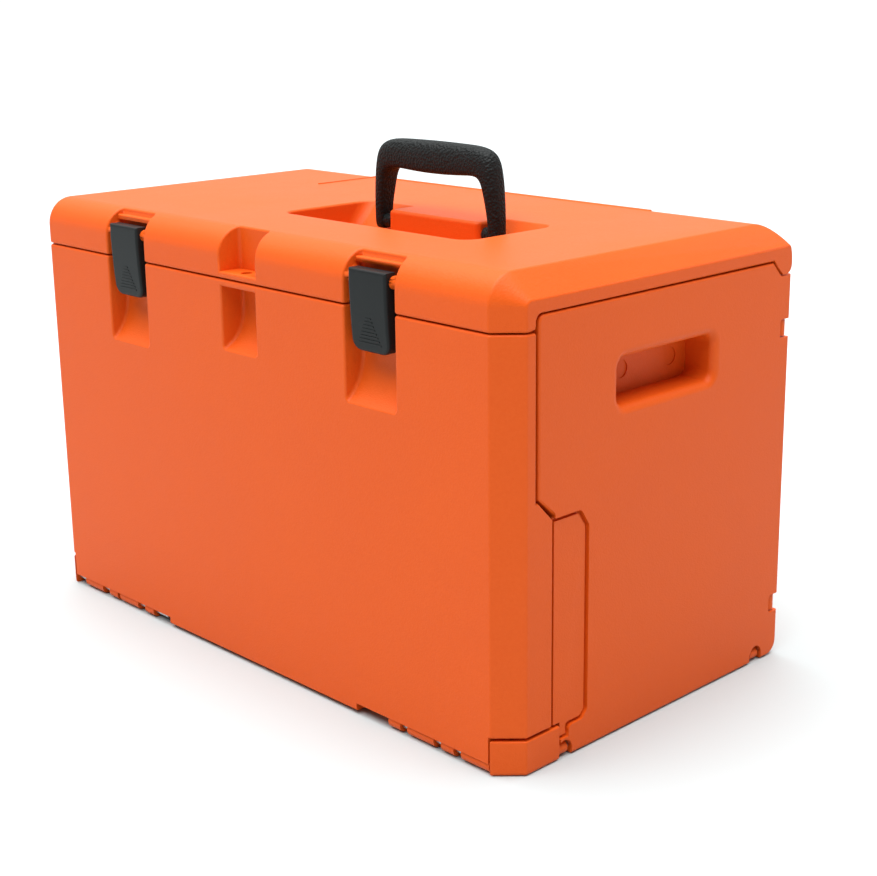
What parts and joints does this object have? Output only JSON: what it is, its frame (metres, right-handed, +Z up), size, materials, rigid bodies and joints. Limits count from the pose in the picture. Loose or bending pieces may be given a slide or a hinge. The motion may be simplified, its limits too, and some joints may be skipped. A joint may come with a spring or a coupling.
{
  "type": "carrying case",
  "caption": "Orange blow-moulded tool carrying case of hinged panels with a rounded lid, black draw latches, a fold-down black grip in a lid well, hand holds in the ends and a padlock hasp",
  "frame": {"origin": "on the floor, at the middle of the case's flat underside", "axes": "X along the front (long side), +Y from front to back, +Z up"},
  "size_m": [0.51, 0.2833, 0.3695],
  "materials": {
    "orange_shell": "fine moulded grain, satin",
    "latch_black": "satin",
    "grip_black": "fine pebble grain, matt",
    "rod_steel": "plain drawn wire"
  },
  "bodies": {
    "case": {"base_panel": "orange_shell", "front_panel": "orange_shell", "rear_panel": "orange_shell", "left_side_panel": "orange_shell", "right_side_panel": "orange_shell", "front_hinge_rod_left": "rod_steel", "front_hinge_rod_right": "rod_steel", "rear_hinge_rod_left": "rod_steel", "rear_hinge_rod_right": "rod_steel", "lid_hinge_rod_left": "rod_steel", "lid_hinge_rod_right": "rod_steel", "side_pins_left": "rod_steel", "side_pins_right": "rod_steel", "corner_pins_left": "rod_steel", "corner_pins_right": "rod_steel"},
    "lid": {"lid": "orange_shell", "left_latch_pin": "rod_steel", "right_latch_pin": "rod_steel", "handle_pins": "rod_steel"},
    "left_latch": {"left_latch": "latch_black"},
    "right_latch": {"right_latch": "latch_black"},
    "handle": {"handle": "grip_black"}
  },
  "joints": [
    {"name": "lid_hinge", "type": "hinge", "parent": "case", "child": "lid", "pos_m": [0, 0.1345, 0.2885], "axis": [-1, 0, 0], "range_deg": [0, 95]},
    {"name": "left_latch_pivot", "type": "hinge", "parent": "lid", "child": "left_latch", "pos_m": [-0.1345, -0.1353, 0.3005], "axis": [-1, 0, 0], "range_deg": [0, 110]},
    {"name": "right_latch_pivot", "type": "hinge", "parent": "lid", "child": "right_latch", "pos_m": [0.1345, -0.1353, 0.3005], "axis": [-1, 0, 0], "range_deg": [0, 110]},
    {"name": "handle_fold", "type": "hinge", "parent": "lid", "child": "handle", "pos_m": [0.0485, 0.00275, 0.308], "axis": [1, 0, 0], "range_deg": [0, 90]}
  ]
}
